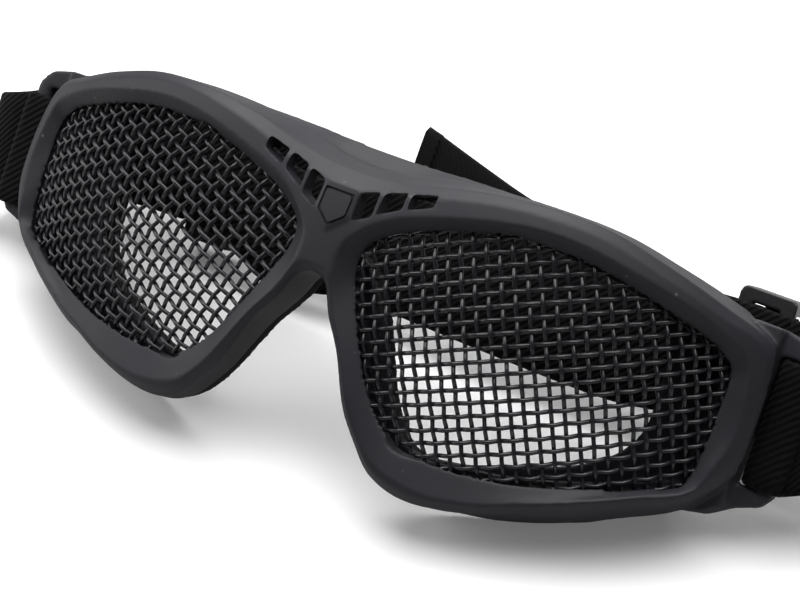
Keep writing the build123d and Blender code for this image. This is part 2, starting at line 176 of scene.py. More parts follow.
# How the shapes seen depart from the solids, in mm: an amount, and the ranges across
# (X), up (Z) and back (DEPTH) over which it comes in and, where there are two, goes.
LIP_DROP = 1.0
LIP_DROP_OUT = 1.4
LIP_DROP_X = (40, 62)
DIP_DROP = 1.1
DIP_X = (7, 16)
FOAM_UNDER_LIP = 0.3
FOAM_TOP_Z = (21.5, 27)
FRONT_LIFT = 0.7
FRONT_LIFT_DEPTH = (0, 4)
FRONT_LIFT_X = ((44, 52), (70, 78))
REAR_DROP_DEPTH = (1, 11)
LOW_EDGE_REACH = 5.5
LOW_EDGE_BLEND = 4
UPPER_ARM_DROP = 1.5
UPPER_ARM_X = (82.5, 90)
UPPER_ARM_Z = (16.3, 19.5)
LOWER_ARM_LIFT = 1.9
LOWER_ARM_X = ((82.6, 83.3), (87.2, 88.4))
LOWER_ARM_Z = ((-12.8, -11.6), (-10.8, -8.6))
LUG_DEPTH = (23.5, 25)

# The brow cuts: corner radii and how far the tool reaches in front of and behind the
# brow, in mm. The skirt takes the foam's faces that look up, and sits mostly outside.
VENT_CORNER = 0.7
PANEL_CORNER = 0.4
CUT_DEPTHS = (-12.0, 6.0)
SKIRT_FACING = 0.6
SKIRT_OFFSET = -0.7

# The share of its faces that each eased piece keeps, which holds the frame under 200,000
# triangles, how often the foam and the sliders are eased, the sliders' face size in
# metres, and how far a loop's ends reach past its slider, in mm.
FRAME_KEEP = 0.38
FOAM_KEEP = 0.5
SLIDER_KEEP = 0.5
FOAM_EASING = 6
SLIDER_EASING = 4
SLIDER_VOXEL = 0.0003
PAST_SLIDER = 0.3


def rotated(a, b, angle):
    """The pair turned clockwise by the angle."""
    c = math.cos(angle)
    s = math.sin(angle)
    return a * c + b * s, b * c - a * s


def row_way(x, y, z):
    """A direction of the goggles' upright frame as one of the row's frame."""
    return Vector((x, *rotated(y, z, LEAN)))


def row(x, y, z):
    """A point of the goggles' upright frame, in mm, as a point of the row's frame."""
    y, z = rotated(y, z, LEAN)
    return Vector((x, y + SHIFT_Y, z + SHIFT_Z)) * MM


def upright_point(p):
    """A point of the row's frame as one of the goggles' upright frame, in mm."""
    y, z = rotated(p.y / MM - SHIFT_Y, p.z / MM - SHIFT_Z, -LEAN)
    return Vector((p.x / MM, y, z))


def ease(value, start, end):
    """Nothing before start, one past end, smooth between."""
    t = min(max((value - start) / (end - start), 0), 1)
    return t * t * (3 - 2 * t)


def within(value, rise, fall):
    """One between the two ranges, eased over each of them."""
    return ease(value, *rise) * (1 - ease(value, *fall))


# Mesh helpers


def new_object(name, data):
    """An object of this data in the scene, at the origin."""
    ob = bpy.data.objects.new(name, data)
    bpy.context.scene.collection.objects.link(ob)
    return ob


def mesh_of(name, points, faces=(), edges=()):
    """A mesh of these points, in metres, and faces or edges."""
    mesh = bpy.data.meshes.new(name)
    mesh.from_pydata([tuple(p) for p in points], list(edges), [tuple(f) for f in faces])
    mesh.update()
    return mesh


def smooth_faces(mesh):
    mesh.polygons.foreach_set("use_smooth", [True] * len(mesh.polygons))


def outward(mesh):
    """Turns the faces of a closed mesh outwards."""
    bm = bmesh.new()
    bm.from_mesh(mesh)
    bmesh.ops.recalc_face_normals(bm, faces=bm.faces)
    bm.to_mesh(mesh)
    bm.free()


def baked(ob):
    """The object with its modifiers made part of a plain mesh."""
    bpy.context.view_layer.update()
    graph = bpy.context.evaluated_depsgraph_get()
    mesh = bpy.data.meshes.new_from_object(ob.evaluated_get(graph))
    mesh.name = ob.name
    old = ob.data
    ob.modifiers.clear()
    ob.data = mesh
    bpy.data.meshes.remove(old)
    return ob


def node_copy(node, name):
    """A welded copy of a CAD node's mesh, in the row's frame."""
    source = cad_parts[node]
    mesh = source.data.copy()
    mesh.transform(source.matrix_world)
    mesh.materials.clear()
    bm = bmesh.new()
    bm.from_mesh(mesh)
    bmesh.ops.remove_doubles(bm, verts=bm.verts, dist=WELD)
    bm.to_mesh(mesh)
    bm.free()
    mesh.name = name
    for layer in list(mesh.uv_layers):
        mesh.uv_layers.remove(layer)
    return new_object(name, mesh)


def add_modifier(ob, name, kind, **settings):
    modifier = ob.modifiers.new(name, kind)
    for key, value in settings.items():
        setattr(modifier, key, value)
    return modifier


def moulded_copy(node, name, voxel, smoothing, keep, extra=()):
    """The node's shape, with any extra objects grown into it and its edges eased, as a
    mould leaves them. keep is the share of its faces that stay."""
    ob = node_copy(node, name)
    join(ob, extra)
    add_modifier(ob, "Even mesh", "REMESH", mode="VOXEL", voxel_size=voxel)
    add_modifier(ob, "Eased edges", "SMOOTH", factor=0.5, iterations=smoothing)
    add_modifier(ob, "Fewer faces", "DECIMATE", ratio=keep)
    ob = baked(ob)
    smooth_faces(ob.data)
    return ob


def join(ob, others):
    """Adds the other objects' meshes to this one's and removes those objects."""
    bm = bmesh.new()
    bm.from_mesh(ob.data)
    for other in others:
        bm.from_mesh(other.data)
        bpy.data.objects.remove(other)
    bm.to_mesh(ob.data)
    bm.free()


def reshape(ob, shift):
    """Moves each point up by shift(point) in the goggles' upright frame, in mm."""
    up = row_way(0, 0, 1)
    for vertex in ob.data.vertices:
        vertex.co += up * (shift(upright_point(vertex.co)) * MM)


def cut(ob, tool):
    """The object less the tool, which is then removed."""
    before = len(ob.data.polygons)
    add_modifier(ob, "Cut", "BOOLEAN", operation="DIFFERENCE", solver="EXACT", object=tool)
    ob = baked(ob)
    bpy.data.objects.remove(tool)
    if len(ob.data.polygons) < before / 2:
        raise RuntimeError("the cut took the piece away")
    smooth_faces(ob.data)
    ob.data.set_sharp_from_angle(angle=math.radians(SHARP_ANGLE))
    return ob


# The frame and the foam


def ridge_y(x, z, radius=RIDGE_R):
    """How far back the frame's front surface lies at a point across and up."""
    off = max(abs(x) - EYE_X, 0)
    return CURVE_Y - math.sqrt(radius**2 - off**2 - z**2)


def foam_share(p):
    """How far a point is through the foam, from the frame's seat to the face."""
    seat = HEAD_Y - math.sqrt(SEAT_R**2 - p.x**2)
    return min(max((p.y - seat) / FOAM_T, 0), 1)


def brow_drop(p):
    """How far the brow's rear lip lies under the cut foam's outline."""
    return LIP_DROP + LIP_DROP_OUT * ease(abs(p.x), *LIP_DROP_X)


def lip_shift(p):
    """The rear lip follows the foam, and dips with the brow over the nose."""
    dip = (1 - ease(abs(p.x), *DIP_X)) * (1 - foam_share(p))
    return -brow_drop(p) - DIP_DROP * dip


def foam_shift(p):
    """The foam stays under the lip at the brow and hangs with the rear edge below."""
    top = ease(p.z, *FOAM_TOP_Z) * (brow_drop(p) + FOAM_UNDER_LIP)
    return low_shift(p) * (1 - foam_share(p)) - top


def low_shift(p):
    """The rear edge under the lenses hangs lower than the front one."""
    x = abs(p.x)
    if not LOW_EDGE[0][0] < x < LOW_EDGE[-1][0]:
        return 0
    for (ax, az, ad), (bx, bz, bd) in zip(LOW_EDGE, LOW_EDGE[1:]):
        if x <= bx:
            t = (x - ax) / (bx - ax)
            edge = az + (bz - az) * t
            drop = ad + (bd - ad) * t
            break
    depth = p.y - ridge_y(p.x, max(p.z, -HALF_H))
    lift = FRONT_LIFT * (1 - ease(depth, *FRONT_LIFT_DEPTH)) * within(x, *FRONT_LIFT_X)
    near_edge = ease(edge + LOW_EDGE_REACH - p.z, 0, LOW_EDGE_BLEND)
    return (lift - drop * ease(depth, *REAR_DROP_DEPTH)) * near_edge


def lug_shift(p):
    """The lugs' upper arms slope down outwards and their lower arms stand close under
    the strap."""
    x = abs(p.x)
    upper = UPPER_ARM_DROP * ease(x, *UPPER_ARM_X) * ease(p.z, *UPPER_ARM_Z)
    lower = LOWER_ARM_LIFT * within(x, *LOWER_ARM_X) * within(p.z, *LOWER_ARM_Z)
    return (lower - upper) * ease(p.y, *LUG_DEPTH)


def frame_shift(p):
    """How the moulded frame departs from its solid."""
    return low_shift(p) + lug_shift(p)


def rounded(outline, radius):
    """The outline with each corner cut back by the radius and eased over."""
    points = []
    for k, corner in enumerate(outline):
        p = Vector(corner)
        a = Vector(outline[k - 1]) - p
        b = Vector(outline[(k + 1) % len(outline)]) - p
        first = p + a.normalized() * radius
        last = p + b.normalized() * radius
        points += [first, (first + last + p * 2) / 4, last]
    return points


def grown(outline, far):
    """A convex outline that runs clockwise seen from the front, grown sideways."""
    lines = []
    for k, p in enumerate(outline):
        a = Vector(p)
        run = (Vector(outline[(k + 1) % len(outline)]) - a).normalized()
        lines.append((a + Vector((-run.y, run.x)) * far, run))
    points = []
    for k, (b, v) in enumerate(lines):
        a, u = lines[k - 1]
        t = (b - a).cross(v) / u.cross(v)
        points.append(a + u * t)
    return [tuple(p) for p in points]


def vent_prisms(props, points, faces):
    """Adds a straight prism for each vent to the cutting tool."""
    for corners in VENTS:
        ring = rounded(grown(corners, props.vent_ease / MM), VENT_CORNER)
        n = len(ring)
        for side in (1, -1):
            base = len(points)
            for y in CUT_DEPTHS:
                points += [row(side * p.x, y, p.y) for p in ring]
            faces.append([base + k for k in range(n)])
            faces.append([base + n + k for k in reversed(range(n))])
            for k in range(n):
                m = (k + 1) % n
                faces.append((base + m, base + k, base + n + k, base + n + m))


def panel_ring(props, points, faces):
    """Adds the ring that cuts the groove round the bare panel to the tool."""
    outline = list(PANEL_GROOVE) + [(-x, z) for x, z in reversed(PANEL_GROOVE[:-1])]
    wide = props.groove_wide / MM
    deep = props.groove_deep / MM
    rings = [rounded(grown(outline, far), PANEL_CORNER) for far in (0, -wide)]
    n = len(rings[0])
    base = len(points)
    for ring in rings:
        bottoms = [ridge_y(p.x, p.y, RIDGE_R + PANEL_RISE) + deep for p in ring]
        points += [row(p.x, CUT_DEPTHS[0], p.y) for p in ring]
        points += [row(p.x, y, p.y) for p, y in zip(ring, bottoms)]
    a, b, c, d = (base + j * n for j in range(4))
    for k in range(n):
        m = (k + 1) % n
        faces += [(a + k, a + m, c + m, c + k), (b + m, b + k, d + k, d + m)]
        faces += [(a + m, a + k, b + k, b + m), (c + k, c + m, d + m, d + k)]


def brow_cutter(props):
    """The vents' sharp edges and the groove round the bare panel, as one tool."""
    points = []
    faces = []
    vent_prisms(props, points, faces)
    panel_ring(props, points, faces)
    mesh = mesh_of("brow_cutter", points, faces)
    outward(mesh)
    return new_object("brow_cutter", mesh)


def brow_skirt(props):
    """The frame's rear lip over the brow, laid on the outer side of the foam."""
    ob = node_copy("face_foam", "brow_skirt")
    bm = bmesh.new()
    bm.from_mesh(ob.data)
    up = row_way(0, 0, 1)
    gone = []
    for face in bm.faces:
        centre = upright_point(face.calc_center_median())
        inside = centre.z * MM > props.skirt_from and abs(centre.x) * MM < props.skirt_half
        if not inside or face.normal.dot(up) < SKIRT_FACING:
            gone.append(face)
    bmesh.ops.delete(bm, geom=gone, context="FACES")
    if not bm.faces:
        raise RuntimeError("the foam has no upper side to lay the skirt on")
    bm.to_mesh(ob.data)
    bm.free()
    add_modifier(ob, "Lip", "SOLIDIFY", thickness=props.skirt_thick, offset=SKIRT_OFFSET)
    ob = baked(ob)
    reshape(ob, lip_shift)
    return ob


# Materials


def linear(text):
    """An sRGB hex colour as linear RGBA."""
    values = [int(text[k : k + 2], 16) / 255 for k in (1, 3, 5)]
    out = [v / 12.92 if v <= 0.04045 else ((v + 0.055) / 1.055) ** 2.4 for v in values]
    return (*out, 1.0)


def socket_of(node, name):
    """The input that this name, in any case, stands for in the node's present form."""
    for socket in node.inputs:
        if socket.name.lower() == name.lower() and socket.enabled:
            return socket
    raise KeyError(node.bl_idname + " has no input " + name)


def add_node(tree, kind, inputs=(), **settings):
    """Adds one node. inputs pairs the name or number of an input with a value or with
    the output that feeds it, and settings are the node's properties or input values. A
    Mix node's colours are its inputs 6 and 7 and its output 2."""
    node = tree.nodes.new(kind)
    for key, value in settings.items():
        if hasattr(node, key):
            setattr(node, key, value)
        else:
            socket_of(node, key.replace("_", " ")).default_value = value
    for key, value in inputs:
        target = node.inputs[key] if isinstance(key, int) else socket_of(node, key)
        if isinstance(value, bpy.types.NodeSocket):
            tree.links.new(value, target)
        else:
            target.default_value = value
    return node


def cells(millimetres):
    """The texture scale whose cells, in Object coordinates, have this size."""
    return 1 / (millimetres * MM)


def new_material(name):
    """A material with an empty tree."""
    mat = bpy.data.materials.new(name)
    mat.use_nodes = True
    mat.node_tree.nodes.clear()
    return mat, mat.node_tree


def end_shader(tree, inputs, height, strength, depth):
    """Ends the tree in a Principled shader with these inputs and a bump that takes its
    height from an output and its depth, in mm, from the real grain."""
    bump = add_node(
        tree, "ShaderNodeBump", [("Height", height)], Strength=strength, Distance=depth * MM
    )
    inputs = [*inputs, ("Normal", bump.outputs[0])]
    shader = add_node(tree, "ShaderNodeBsdfPrincipled", inputs)
    add_node(tree, "ShaderNodeOutputMaterial", [(0, shader.outputs[0])])


def moulded_rubber(props):
    """Thermoplastic rubber over nylon, moulded in a spark-eroded tool: black that reads
    as dark grey, a fine matt grain, slight flow shading and a few dust specks. The real
    grain is about 0.1 mm, and is drawn coarser so that it shows."""
    mat, tree = new_material("moulded_rubber")
    at = [("Vector", add_node(tree, "ShaderNodeTexCoord").outputs["Object"])]
    flow = add_node(tree, "ShaderNodeTexNoise", at, Scale=cells(26.3), Detail=3.0).outputs[0]
    grain = add_node(tree, "ShaderNodeTexNoise", at, Scale=cells(0.385), Detail=2.0)
    specks = add_node(tree, "ShaderNodeTexVoronoi", at, Scale=cells(6.25))
    share = add_node(
        tree, "ShaderNodeMapRange", [("Value", flow)], From_Min=0.35, From_Max=0.7
    )
    tone = add_node(
        tree,
        "ShaderNodeMix",
        [(0, share.outputs[0]), (6, props.rubber_dark), (7, props.rubber_light)],
        data_type="RGBA",
    )
    speck = add_node(
        tree,
        "ShaderNodeMapRange",
        [("Value", specks.outputs["Distance"])],
        From_Min=0.03,
        From_Max=0.07,
        To_Min=0.25,
        To_Max=0,
    )
    dusty = add_node(
        tree,
        "ShaderNodeMix",
        [(0, speck.outputs[0]), (6, tone.outputs[2]), (7, props.dust)],
        data_type="RGBA",
    )
    rough = add_node(
        tree,
        "ShaderNodeMapRange",
        [("Value", flow)],
        From_Min=0.3,
        From_Max=0.7,
        To_Min=0.5,
        To_Max=0.62,
    )
    inputs = [
        ("Base Color", dusty.outputs[2]),
        ("Roughness", rough.outputs[0]),
        ("Specular IOR Level", 0.4),
    ]
    end_shader(tree, inputs, grain.outputs[0], 0.18, 0.1)
    return mat


def coated_wire(props):
    """Steel wire, woven, then black powder coated: near black and half gloss, with the
    slight waviness of a thick coat about every millimetre."""
    mat, tree = new_material("coated_steel_wire")
    at = [("Vector", add_node(tree, "ShaderNodeTexCoord").outputs["Object"])]
    noise = add_node(tree, "ShaderNodeTexNoise", at, Scale=cells(1.11), Detail=2.0)
    tone = add_node(
        tree,
        "ShaderNodeMix",
        [(0, noise.outputs[0]), (6, props.wire_dark), (7, props.wire_light)],
        data_type="RGBA",
    )
    inputs = [("Base Color", tone.outputs[2]), ("Roughness", 0.26)]
    end_shader(tree, inputs, noise.outputs[0], 0.25, 0.08)
    return mat


def soft_foam(props):
    """Closed-cell polyurethane foam, cut and skinned: dull black with pores of about
    0.7 mm, which take a darker tone as painted shade in their hollows."""
    mat, tree = new_material("skinned_foam")
    at = [("Vector", add_node(tree, "ShaderNodeTexCoord").outputs["Object"])]
    pores = add_node(tree, "ShaderNodeTexVoronoi", at, Scale=cells(0.714))
    # Painted shade: the pores, which the bump sinks, take the darker tone.
    tone = add_node(
        tree,
        "ShaderNodeMix",
        [(0, pores.outputs["Distance"]), (6, props.foam_pore_shade), (7, props.foam_light)],
        data_type="RGBA",
    )
    inputs = [("Base Color", tone.outputs[2]), ("Roughness", 0.9), ("Specular IOR Level", 0.3)]
    end_shader(tree, inputs, pores.outputs["Distance"], 0.5, 0.2)
    return mat


def elastic_webbing(props):
    """Polyester-covered elastic webbing: slanted ribs about a millimetre apart, with
    painted shade that turns the grooves between them deep black, and the soft sheen
    of spun yarn. The band's UV map holds millimetres along and across it."""
    mat, tree = new_material("elastic_webbing")
    uv = add_node(tree, "ShaderNodeUVMap", uv_map="band").outputs[0]
    split = add_node(tree, "ShaderNodeSeparateXYZ", [(0, uv)])
    slant = add_node(
        tree,
        "ShaderNodeMath",
        [(0, split.outputs[0]), (1, split.outputs[1])],
        operation="SUBTRACT",
    )
    rib_turn = 2 * math.pi / (props.rib_pitch / MM * math.sqrt(2))
    turns = add_node(
        tree, "ShaderNodeMath", [(0, slant.outputs[0]), (1, rib_turn)], operation="MULTIPLY"
    )
    wave = add_node(tree, "ShaderNodeMath", [(0, turns.outputs[0])], operation="SINE")
    rib = add_node(tree, "ShaderNodeMapRange", [("Value", wave.outputs[0])], From_Min=-1)
    yarn = add_node(tree, "ShaderNodeTexNoise", [("Vector", uv)], Scale=5.0, Detail=3.0)
    height = add_node(
        tree,
        "ShaderNodeMath",
        [(0, yarn.outputs[0]), (1, 0.5), (2, rib.outputs[0])],
        operation="MULTIPLY_ADD",
    ).outputs[0]
    # Painted shade: the tone follows the rib height and is darkest in the grooves between the
    # ribs. The yarn noise adds random tone.
    tone = add_node(
        tree,
        "ShaderNodeMix",
        [(0, height), (6, props.webbing_groove_shade), (7, props.webbing_light)],
        data_type="RGBA",
    )
    inputs = [
        ("Base Color", tone.outputs[2]),
        ("Roughness", 0.85),
        ("Specular IOR Level", 0.12),
        ("Sheen Weight", 0.02),
        ("Sheen Roughness", 0.4),
    ]
    end_shader(tree, inputs, height, 0.8, 0.3)
    return mat


def moulded_acetal(props):
    """Acetal, injection moulded: black with a half gloss and a faint grain, drawn at
    0.8 mm so that it shows."""
    mat, tree = new_material("moulded_acetal")
    at = [("Vector", add_node(tree, "ShaderNodeTexCoord").outputs["Object"])]
    noise = add_node(tree, "ShaderNodeTexNoise", at, Scale=cells(0.833), Detail=2.0)
    tone = add_node(
        tree,
        "ShaderNodeMix",
        [(0, noise.outputs[0]), (6, props.buckle_dark), (7, props.buckle_light)],
        data_type="RGBA",
    )
    inputs = [("Base Color", tone.outputs[2]), ("Roughness", 0.35)]
    end_shader(tree, inputs, noise.outputs[0], 0.15, 0.05)
    return mat


def give(ob, mat):
    """Makes this the object's only material."""
    ob.data.materials.clear()
    ob.data.materials.append(mat)


# The woven lenses


def lens_point(x, z):
    """A point of the mesh's edge in the frame that faces the lens: across, up, out."""
    off = max(abs(x) - EYE_X, 0)
    depth = math.sqrt(MESH_R**2 - off**2 - z**2)
    across, out = rotated(x - EYE_X, depth, -LENS_TURN)
    return across, z, out


def lens_outline():
    """The mesh's edge as seen from the ball's middle, grown by the part in the groove."""
    flat = []
    for a, b in MESH_EDGE:
        u, v, w = lens_point(a * HALF_W, b * HALF_H)
        flat.append((u / w, v / w))
    outline = []
    g = -MESH_LEDGE / MESH_R
    for k, (x, z) in enumerate(flat):
        ax, az = flat[k - 1]
        bx, bz = flat[(k + 1) % len(flat)]
        run = math.hypot(bx - ax, bz - az)
        outline.append((x + g * (bz - az) / run, z - g * (bx - ax) / run))
    return outline


def crossings(outline, place):
    """Where the outline crosses the line at this place, in order along it."""
    found = []
    for k, (ax, ay) in enumerate(outline):
        bx, by = outline[k - 1]
        if (ax - place) * (bx - place) < 0:
            found.append(ay + (by - ay) * (place - ax) / (bx - ax))
    return sorted(found)


def lens_to_goggles(p, side):
    """From the lens's own frame to the goggles' upright frame, in mm."""
    u, v, w = p
    x, y = rotated(u, w, LENS_TURN)
    return side * (EYE_X + x), CURVE_Y - y, v


def wire_line(outline, family, j, pitch, crimp, side):
    """One wire's line as points in the row's frame, or none where it misses the lens.
    Each family of wires runs one way, and j counts them from the middle."""
    step = pitch / MESH_R
    place = math.tan(j * step)
    ends = crossings(outline if family == 0 else [(y, x) for x, y in outline], place)
    if len(ends) < 2 or ends[1] - ends[0] < step:
        return []
    first = math.atan(ends[0]) / step
    last = math.atan(ends[1]) / step
    flip = 1 if (j + family) % 2 == 0 else -1
    line = []
    count = max(4, round((last - first) * POINTS_PER_PITCH))
    for k in range(count + 1):
        i = first + (last - first) * k / count
        radius = MESH_R + flip * crimp * math.cos(math.pi * i)
        a, b = place, math.tan(i * step)
        if family == 1:
            a, b = b, a
        way = Vector((*rotated(a, b, -WEAVE_TURN), 1)).normalized()
        line.append(row(*lens_to_goggles(way * radius, side)))
    return line


def wire_lines(pitch, crimp, side):
    """Every wire's line, crimped over and under the wires that it crosses."""
    outline = [rotated(x, y, WEAVE_TURN) for x, y in lens_outline()]
    reach = round(max(abs(v) for p in outline for v in p) * MESH_R / pitch) + 1
    lines = []
    for family in (0, 1):
        for j in range(-reach, reach + 1):
            line = wire_line(outline, family, j, pitch, crimp, side)
            if line:
                lines.append(line)
    return lines


def wire_tree():
    """Geometry Nodes that give each line a round wire."""
    tree = bpy.data.node_groups.new("Woven wires", "GeometryNodeTree")
    face = tree.interface
    face.new_socket("Lines", in_out="INPUT", socket_type="NodeSocketGeometry")
    thick = face.new_socket("Wire diameter", in_out="INPUT", socket_type="NodeSocketFloat")
    thick.default_value = 0.0007
    sides = face.new_socket("Sides", in_out="INPUT", socket_type="NodeSocketInt")
    sides.default_value = 8
    face.new_socket("Finish", in_out="INPUT", socket_type="NodeSocketMaterial")
    face.new_socket("Wires", in_out="OUTPUT", socket_type="NodeSocketGeometry")
    start = add_node(tree, "NodeGroupInput").outputs
    line = add_node(tree, "GeometryNodeMeshToCurve", [(0, start["Lines"])])
    half = add_node(
        tree, "ShaderNodeMath", [(0, start["Wire diameter"]), (1, 0.5)], operation="MULTIPLY"
    )
    ring = add_node(
        tree,
        "GeometryNodeCurvePrimitiveCircle",
        [("Resolution", start["Sides"]), ("Radius", half.outputs[0])],
        mode="RADIUS",
    )
    tube = add_node(
        tree,
        "GeometryNodeCurveToMesh",
        [("Curve", line.outputs[0]), ("Profile Curve", ring.outputs[0]), ("Fill Caps", True)],
    )
    soft = add_node(tree, "GeometryNodeSetShadeSmooth", [(0, tube.outputs[0])])
    real = add_node(tree, "GeometryNodeRealizeInstances", [(0, soft.outputs[0])])
    paint = add_node(
        tree,
        "GeometryNodeSetMaterial",
        [(0, real.outputs[0]), ("Material", start["Finish"])],
    )
    add_node(tree, "NodeGroupOutput", [(0, paint.outputs[0])])
    return tree


def set_inputs(modifier, values):
    """Sets a Geometry Nodes modifier's inputs by the names of its group's sockets."""
    for item in modifier.node_group.interface.items_tree:
        if item.item_type == "SOCKET" and item.in_out == "INPUT" and item.name in values:
            modifier[item.identifier] = values[item.name]


# Bands. A stop on a band's way is x, y, the height of its middle and how far its lower
# edge leans out, in mm.

# Each loop's height on its lug's bar and its outer and inner layer between the lug and
# the slider, with x from the middle of the face outwards.
LOOPS = {
    "right": (
        3.3,
        (
            (90.0, 48.5, 10.2, 0),
            (98.0, 46.0, 9.6, 0),
            (102.8, 41.6, 8.9, 0.4),
            (104.2, 36.4, 8.8, 0.7),
            (103.2, 31.6, 8.4, 0.7),
            (100.2, 28.8, 7.2, 0.5),
            (95.8, 27.5, 5.2, 0.3),
        ),
        (
            (85.9, 31.5, 3.3, 0),
            (89.6, 35.2, 4.2, 0),
            (94.2, 38.6, 6.0, 0.4),
            (96.2, 41.2, 7.6, 0.4),
            (93.2, 42.8, 9.2, 0),
            (87.5, 43.1, 10.2, 0),
        ),
    ),
    "left": (
        1.5,
        (
            (90.0, 48.5, 8.6, 0),
            (96.0, 46.0, 4.8, 0),
            (99.4, 42.2, 1.2, -0.8),
            (100.9, 37.2, -0.8, -1.4),
            (100.5, 32.2, -1.2, -1.4),
            (98.4, 29.0, -0.9, -1.0),
            (94.8, 27.7, 0.3, -0.4),
        ),
        (
            (85.9, 31.5, 1.5, 0),
            (89.4, 35.2, 2.2, 0),
            (93.4, 38.6, 3.8, 0),
            (95.0, 41.2, 6.0, 0),
            (92.5, 42.8, 7.2, 0),
            (87.5, 43.1, 8.2, 0),
        ),
    ),
}

# The strap's back run between the sliders, sagging to the floor, and the free ends.
RUN_Y = BACK_Y - FRONT_STEP
RUN_STOPS = (
    (-41.5, RUN_Y, 8.2, 0),
    (-34.3, RUN_Y, 5.2, 0),
    (-24.5, RUN_Y, 4.6, 0),
    (-11.0, RUN_Y, 7.6, 0),
    (0.0, RUN_Y, 7.6, 0),
    (22.0, RUN_Y, 7.1, 0),
    (46.0, RUN_Y, 7.0, 0),
    (57.0, RUN_Y, 8.2, 0),
    (64.0, RUN_Y, 9.8, 0),
    (68.0, RUN_Y, 10.4, 0),
)
TAIL_Y = BACK_Y + LAYER_STEP
LONG_END = (
    (68.0, 48.9, 10.4, 0),
    (56.0, 51.6, 9.8, 0),
    (38.0, 54.0, 10.8, 0),
    (16.0, 57.0, 14.6, 0),
    (2.0, 61.6, 17.6, 0),
    (-16.4, 66.4, 22.2, 0),
)
HEM = ((-12.4, 65.5, 21.3, 0), (-14.4, 66.0, 21.7, 0), (-16.6, 66.5, 22.2, 0))
HEM_THICK = 1.9
HEM_WIDER = 0.1
SHORT_END = (
    (-43.0, TAIL_Y, 10.4, 0),
    (-30.0, TAIL_Y, 10.4, 0),
    (-16.0, TAIL_Y, 10.4, 0),
)


def smooth_route(stops, steps):
    """A smooth line through the stops, in mm."""
    points = [Vector(p) for p in stops]
    ends = [points[0] * 2 - points[1]] + points + [points[-1] * 2 - points[-2]]
    line = []
    for a, b, c, d in zip(ends, ends[1:], ends[2:], ends[3:]):
        for k in range(steps):
            t = k / steps
            p = b * 2 + (c - a) * t + (a * 2 - b * 5 + c * 4 - d) * t * t
            line.append((p + (b * 3 - a - c * 3 + d) * t**3) / 2)
    line.append(points[-1])
    return line


def band_ring(half, edge):
    """The band's cross section: across and through it, thinner and round at its edges."""
    spread = [-1 + 2 * k / BAND_ROWS for k in range(BAND_ROWS + 1)]
    far = [(s * (half - edge), edge * (1 - EDGE_THINS * abs(s) ** 6)) for s in spread]
    return [*far, (half, 0), *((s, -t) for s, t in reversed(far)), (-half, 0)]


def band(name, route, width, thick, along_sign=1):
    """A webbing band along the route. Its UV map holds mm along it, which along_sign can
    turn round, and mm across it."""
    line = smooth_route(route, BAND_STEPS)
    half = width / 2
    ring = band_ring(half, thick / 2)
    points = []
    marks = []
    gone = 0.0
    for k, stop in enumerate(line):
        p = stop.to_3d()
        run = (line[min(k + 1, len(line) - 1)] - line[max(k - 1, 0)]).to_3d()
        along = Vector((run.x, run.y, 0)).normalized()
        off = Vector((-along.y, along.x, 0))
        lean = Vector((stop.w, 0, 0))
        if k:
            gone += (p - line[k - 1].to_3d()).length
        for s, t in ring:
            points.append(row(*(p + off * t + Vector((0, 0, s)) - lean * (s / half))))
            marks.append((along_sign * gone, s))
    n = len(ring)
    last = (len(line) - 1) * n
    faces = [tuple(range(n - 1, -1, -1)), tuple(range(last, last + n))]
    for base in range(0, last, n):
        for j in range(n):
            m = (j + 1) % n
            faces.append((base + j, base + m, base + n + m, base + n + j))
    mesh = mesh_of(name, points, faces)
    layer = mesh.uv_layers.new(name="band")
    for loop in mesh.loops:
        layer.data[loop.index].uv = marks[loop.vertex_index]
    outward(mesh)
    smooth_faces(mesh)
    return new_object(name, mesh)


def bar_bend(thick, height):
    """The band's way round the lug's bar, from outside to inside."""
    reach = LUG_R + STRAP_GAP + thick / 2
    corner = []
    for angle in (math.radians(turn) for turn in (0, 30, 60, 90)):
        corner.append((reach * math.cos(angle) - LUG_R, LUG_Y + LUG_R - reach * math.sin(angle)))
    outside = [(LUG_X + x, y) for x, y in corner]
    inside = [(LUG_X - LUG_T - SLOT_SLACK - x, y) for x, y in reversed(corner)]
    return [(x, y, height, 0) for x, y in outside + inside]


def loop_route(end_x, side, word, thick, slider_z):
    """The double band from the slider round the lug's bar and back."""
    height, outer, inner = LOOPS[word]
    start = [(end_x, TAIL_Y, slider_z, 0)]
    end = [(end_x, RUN_Y, slider_z, 0)]
    if end_x < LONG_WAY_X:
        start.append((LONG_WAY_X + 2, TAIL_Y, slider_z, 0))
        end.insert(0, (LONG_WAY_X - 2, RUN_Y, slider_z - 0.6, 0))
    route = [*start, *outer, *bar_bend(thick, height), *inner, *end]
    return [(side * x, y, z, side * lean) for x, y, z, lean in route]


# Settings


def length(name, description, millimetres):
    """A length that a user may change, kept in metres as Blender keeps it."""
    return bpy.props.FloatProperty(
        name=name,
        description=description,
        default=millimetres * MM,
        precision=5,
        unit="LENGTH",
    )


def colour(name, description, text):
    """A colour that a user may change, from its sRGB hex value."""
    return bpy.props.FloatVectorProperty(
        name=name,
        description=description,
        default=linear(text),
        size=4,
        min=0,
        max=1,
        subtype="COLOR",
    )


class GogglesLensSettings(bpy.types.PropertyGroup):
    pitch: length("Wire pitch", "Distance between wires", 2.54)
    wire: length("Wire diameter", "Coated wire", 0.86)
    crimp: length("Crimp", "How far a wire bends over and under", 0.34)
    sides: bpy.props.IntProperty(
        name="Wire sides", description="Faces round each wire", default=8, min=4, max=16
    )
    wire_dark: colour("Wire dark", "Darker tone of the coating", "#121215")
    wire_light: colour("Wire light", "Lighter tone of the coating", "#222227")


